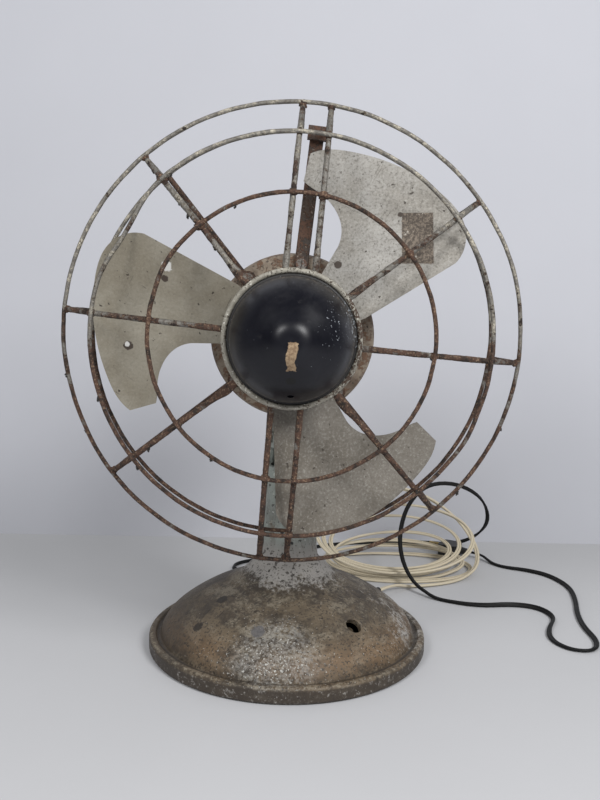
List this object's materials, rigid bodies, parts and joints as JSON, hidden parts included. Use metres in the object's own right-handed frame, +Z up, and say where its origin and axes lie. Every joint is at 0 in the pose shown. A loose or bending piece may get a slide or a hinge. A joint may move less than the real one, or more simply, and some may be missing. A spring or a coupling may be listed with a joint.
{
  "type": "desk fan",
  "caption": "Old mains desk fan: domed base with a cast neck, tilting motor head, sheet-metal blades in a round wire guard, nose cap, and a twin flex in loose loops.",
  "frame": {"origin": "centre of the round face that the base rests on", "axes": "+Z up through the base and the neck, the fan blows towards -Y, +X to the right seen from the front"},
  "size_m": [0.4928, 0.5102, 0.4524],
  "materials": {
    "base_paint": "old stove enamel, worn, chipped and dirty",
    "plate_steel": "thin black paint",
    "screw_steel": "dull, slightly rusted",
    "base_felt": "pressed felt",
    "switch_moulding": "moulded, dull",
    "spindle_brass": "dull",
    "post_steel": "plain",
    "terminal_ceramic": "off-white, dull",
    "grommet_rubber": "aged",
    "inner_cable": "dull",
    "bolt_steel": "plated, worn",
    "motor_paint": "enamel with rust showing through",
    "oiler_brass": "tarnished",
    "bearing_bronze": "oiled",
    "washer_fibre": "fibre",
    "lamination_steel": "stacked sheet",
    "winding_copper": "varnished copper wire",
    "end_ring_aluminium": "cast",
    "shaft_steel": "ground",
    "blade_paint": "grey-green enamel, speckled",
    "hub_paint": "enamel, dull",
    "rivet_aluminium": "dull",
    "guard_wire_grey": "plated wire, rusted in places",
    "guard_wire_rust": "rusted wire",
    "hub_ring_paint": "chipped cream and silver paint",
    "stay_paint": "dark brown, rusted",
    "nose_cap_moulding": "glossy blue-black, scuffed",
    "cream_flex": "aged twin flex",
    "black_flex": "black twin flex",
    "joiner_moulding": "brown moulding",
    "plug_moulding": "black moulding",
    "pin_brass": "worn"
  },
  "bodies": {
    "stand": {"base_casting": "base_paint", "base_plate": "plate_steel", "base_plate_screws": "screw_steel", "terminal_screws": "screw_steel", "tilt_washer": "screw_steel", "base_felt": "base_felt", "switch_body": "switch_moulding", "switch_posts": "post_steel", "terminal_block": "terminal_ceramic", "cord_grommet": "grommet_rubber", "inner_supply_lead": "inner_cable", "neck_cable": "inner_cable", "tilt_bolt": "bolt_steel", "cream_lead": "cream_flex", "cream_coil": "cream_flex", "cream_tail": "cream_flex", "black_cord": "black_flex", "cord_joiner": "joiner_moulding", "plug_body": "plug_moulding", "plug_pins": "pin_brass"},
    "head": {"motor_front_housing": "motor_paint", "motor_rear_housing": "motor_paint", "oiler_cap": "oiler_brass", "housing_bolts": "screw_steel", "front_bearing": "bearing_bronze", "rear_bearing": "bearing_bronze", "stator_core": "lamination_steel", "stator_windings": "winding_copper", "tilt_lug": "motor_paint", "lug_screws": "screw_steel", "guard_outer_ring": "guard_wire_grey", "guard_front_ring": "guard_wire_rust", "guard_inner_ring": "guard_wire_rust", "guard_rear_ring": "guard_wire_rust", "guard_hub_ring": "hub_ring_paint", "guard_spokes": "guard_wire_grey", "rear_stays": "guard_wire_rust", "top_stay": "stay_paint", "top_stay_clamp": "stay_paint", "stay_screws": "screw_steel", "nose_cap": "nose_cap_moulding", "cap_clips": "stay_paint"},
    "fan": {"motor_shaft": "shaft_steel", "rotor_core": "lamination_steel", "rotor_end_rings": "end_ring_aluminium", "thrust_washers": "washer_fibre", "blade_hub": "hub_paint", "hub_set_screw": "screw_steel", "blade_rivets": "rivet_aluminium", "blade_1": "blade_paint", "blade_2": "blade_paint", "blade_3": "blade_paint"},
    "switch_spindle": {"switch_spindle": "spindle_brass"},
    "wing_nut": {"wing_nut": "bolt_steel"}
  },
  "joints": [
    {"name": "head_tilt", "type": "hinge", "parent": "stand", "child": "head", "pos_m": [0, 0, 0.198], "axis": [1, 0, 0], "range_deg": [-30, 15]},
    {"name": "fan_spin", "type": "hinge", "parent": "head", "child": "fan", "pos_m": [0, -0.095, 0.278], "axis": [0, -1, 0], "continuous": true},
    {"name": "switch_turn", "type": "hinge", "parent": "stand", "child": "switch_spindle", "pos_m": [0.0549, -0.06684, 0.04133], "axis": [0.3908, -0.4757, 0.788], "range_deg": [0, 90]},
    {"name": "wing_nut_turn", "type": "hinge", "parent": "stand", "child": "wing_nut", "pos_m": [0.025, 0, 0.198], "axis": [1, 0, 0], "range_deg": [0, 180]}
  ]
}
